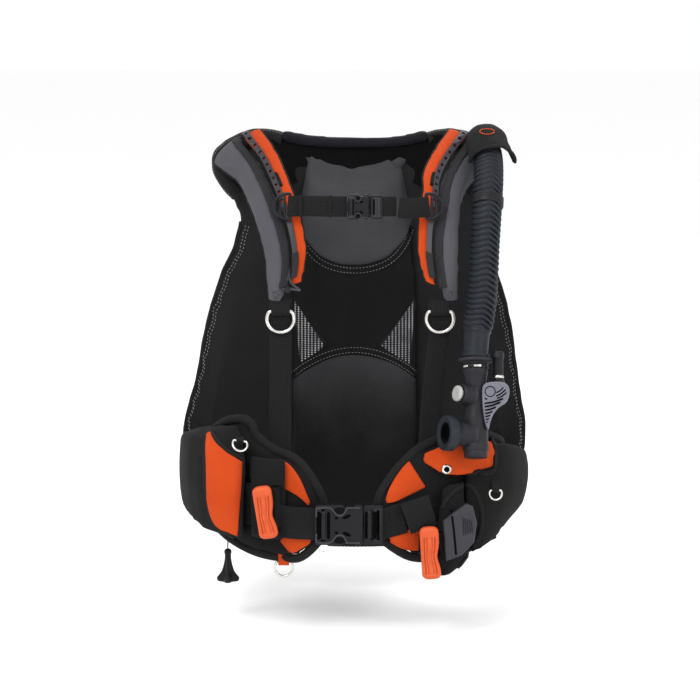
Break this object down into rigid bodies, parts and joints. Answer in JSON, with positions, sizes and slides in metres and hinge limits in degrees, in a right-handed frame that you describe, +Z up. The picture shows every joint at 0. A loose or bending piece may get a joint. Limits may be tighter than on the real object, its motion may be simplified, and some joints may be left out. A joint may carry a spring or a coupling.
{
  "type": "buoyancy compensator vest",
  "caption": "Jacket-style diver's buoyancy vest with padded shoulders, chest and waist buckles, weight pockets, tank band, corrugated hose and power inflator.",
  "frame": {"origin": "middle of the flat face between the tank cradle's ribs, on the rear of the backplate", "axes": "+X to the wearer's left, +Y behind the back towards the tank, +Z up"},
  "size_m": [0.4443, 0.5303, 0.5685],
  "materials": {
    "black_nylon": "heavy coated black nylon",
    "grey_nylon": "ribbed grey nylon over foam",
    "orange_nylon": "orange nylon",
    "black_webbing": "woven black webbing",
    "black_plastic": "moulded black plastic, satin",
    "grey_plastic": "moulded grey plastic, satin",
    "orange_rubber": "soft orange grip rubber",
    "hose_rubber": "corrugated dark hose rubber",
    "steel": "polished stainless steel"
  },
  "bodies": {
    "vest": {"backplate": "black_plastic", "tank_band": "black_webbing", "cam_buckle_frame": "black_plastic", "cam_buckle_pin": "steel", "collar_roll": "black_nylon", "shoulder_elbow": "black_plastic", "air_cell": "black_nylon", "back_pad": "grey_nylon", "chest_strap_right": "black_webbing", "chest_strap_left": "black_webbing", "chest_buckle_socket": "black_plastic", "waist_belt_right": "black_webbing", "waist_belt_left": "black_webbing", "waist_buckle_socket": "black_plastic", "waist_lobe_right": "black_nylon", "waist_lobe_left": "black_nylon", "pocket_right": "black_nylon", "pocket_panel": "orange_nylon", "pocket_flap": "orange_nylon", "pocket_left": "black_nylon", "weight_sleeve_right": "black_nylon", "latch_housing": "grey_plastic", "weight_sleeve_left": "black_nylon", "dump_valve": "black_plastic", "inflator_hose": "hose_rubber", "hose_flap": "black_nylon", "inflator_body": "black_plastic", "mouthpiece": "black_plastic", "quick_connect_post": "steel", "valve_cover": "grey_plastic", "shoulder_pad_right": "grey_nylon", "shoulder_trim_right": "orange_nylon", "shoulder_rail_right": "grey_plastic", "shoulder_webbing_right": "black_webbing", "chest_slider_right": "black_plastic", "shoulder_pad_left": "grey_nylon", "shoulder_trim_left": "orange_nylon", "shoulder_rail_left": "grey_plastic", "shoulder_webbing_left": "black_webbing", "chest_slider_left": "black_plastic"},
    "cam_lever": {"cam_buckle_lever": "black_plastic"},
    "waist_plug": {"waist_buckle_plug": "black_plastic", "waist_belt_tongue": "black_webbing"},
    "waist_arm_upper": {"waist_prong_upper": "black_plastic"},
    "waist_arm_lower": {"waist_prong_lower": "black_plastic"},
    "chest_plug": {"chest_buckle_plug": "black_plastic", "chest_strap_tongue": "black_webbing"},
    "inflate_key": {"inflate_button": "grey_plastic"},
    "deflate_key": {"deflate_button": "black_plastic"},
    "weight_right": {"weight_pouch_right": "black_nylon", "weight_handle_right": "orange_rubber"},
    "weight_left": {"weight_pouch_left": "black_nylon", "weight_handle_left": "orange_rubber"},
    "ring_right": {"shoulder_ring_right": "steel"},
    "ring_left": {"shoulder_ring_left": "steel"},
    "pocket_ring_r": {"pocket_ring_right": "steel"},
    "pocket_ring_l": {"pocket_ring_left": "steel"},
    "hip_ring": {"hip_ring": "steel"},
    "dump_pull": {"dump_pull_cord": "black_webbing", "dump_pull_knob": "black_plastic"}
  },
  "joints": [
    {"name": "cam_lever_open", "type": "hinge", "parent": "vest", "child": "cam_lever", "pos_m": [-0.02, 0.2052, 0.04], "axis": [0, 0, 1], "range_deg": [0, 140]},
    {"name": "waist_buckle_part", "type": "slide", "parent": "vest", "child": "waist_plug", "axis": [1, 0, 0], "range_m": [0, 0.024]},
    {"name": "waist_arm_upper_press", "type": "hinge", "parent": "waist_plug", "child": "waist_arm_upper", "pos_m": [0.0098, -0.299, -0.1722], "axis": [0, -1, 0], "range_deg": [0, 7], "stiffness_Nm_per_rad": 0.6},
    {"name": "waist_arm_lower_press", "type": "hinge", "parent": "waist_plug", "child": "waist_arm_lower", "pos_m": [0.0098, -0.299, -0.2118], "axis": [0, 1, 0], "range_deg": [0, 7], "stiffness_Nm_per_rad": 0.6},
    {"name": "chest_buckle_part", "type": "slide", "parent": "vest", "child": "chest_plug", "axis": [1, 0, 0], "range_m": [0, 0.016]},
    {"name": "inflate_press", "type": "slide", "parent": "vest", "child": "inflate_key", "axis": [0.8629, 0.4567, -0.2163], "range_m": [0, 0.003], "stiffness_N_per_m": 600},
    {"name": "deflate_press", "type": "slide", "parent": "vest", "child": "deflate_key", "axis": [0, 0.3173, 0.9483], "range_m": [0, 0.0025], "stiffness_N_per_m": 600},
    {"name": "weight_right_release", "type": "slide", "parent": "vest", "child": "weight_right", "axis": [0.8351, -0.5501, 0], "range_m": [0, 0.08]},
    {"name": "weight_left_release", "type": "slide", "parent": "vest", "child": "weight_left", "axis": [-0.8003, -0.5302, -0.2801], "range_m": [0, 0.08]},
    {"name": "shoulder_ring_right_swing", "type": "hinge", "parent": "vest", "child": "ring_right", "pos_m": [-0.091, -0.2252, 0.057], "axis": [-1, 0, 0], "range_deg": [0, 130]},
    {"name": "shoulder_ring_left_swing", "type": "hinge", "parent": "vest", "child": "ring_left", "pos_m": [0.104, -0.2252, 0.057], "axis": [-1, 0, 0], "range_deg": [0, 130]},
    {"name": "pocket_ring_right_swing", "type": "hinge", "parent": "vest", "child": "pocket_ring_r", "pos_m": [-0.139, -0.281, -0.093], "axis": [-0.9659, -0.2588, 0], "range_deg": [0, 100]},
    {"name": "pocket_ring_left_swing", "type": "hinge", "parent": "vest", "child": "pocket_ring_l", "pos_m": [0.171, -0.277, -0.155], "axis": [-1, 0, 0], "range_deg": [0, 100]},
    {"name": "hip_ring_swing", "type": "hinge", "parent": "vest", "child": "hip_ring", "pos_m": [-0.087, -0.274, -0.246], "axis": [-1, 0, 0], "range_deg": [0, 100]},
    {"name": "dump_pull_down", "type": "slide", "parent": "vest", "child": "dump_pull", "axis": [0, 0, -1], "range_m": [0, 0.01], "stiffness_N_per_m": 250}
  ],
  "couplings": [
    {"joint": "waist_arm_lower_press", "follows": "waist_arm_upper_press", "ratio": 1}
  ]
}
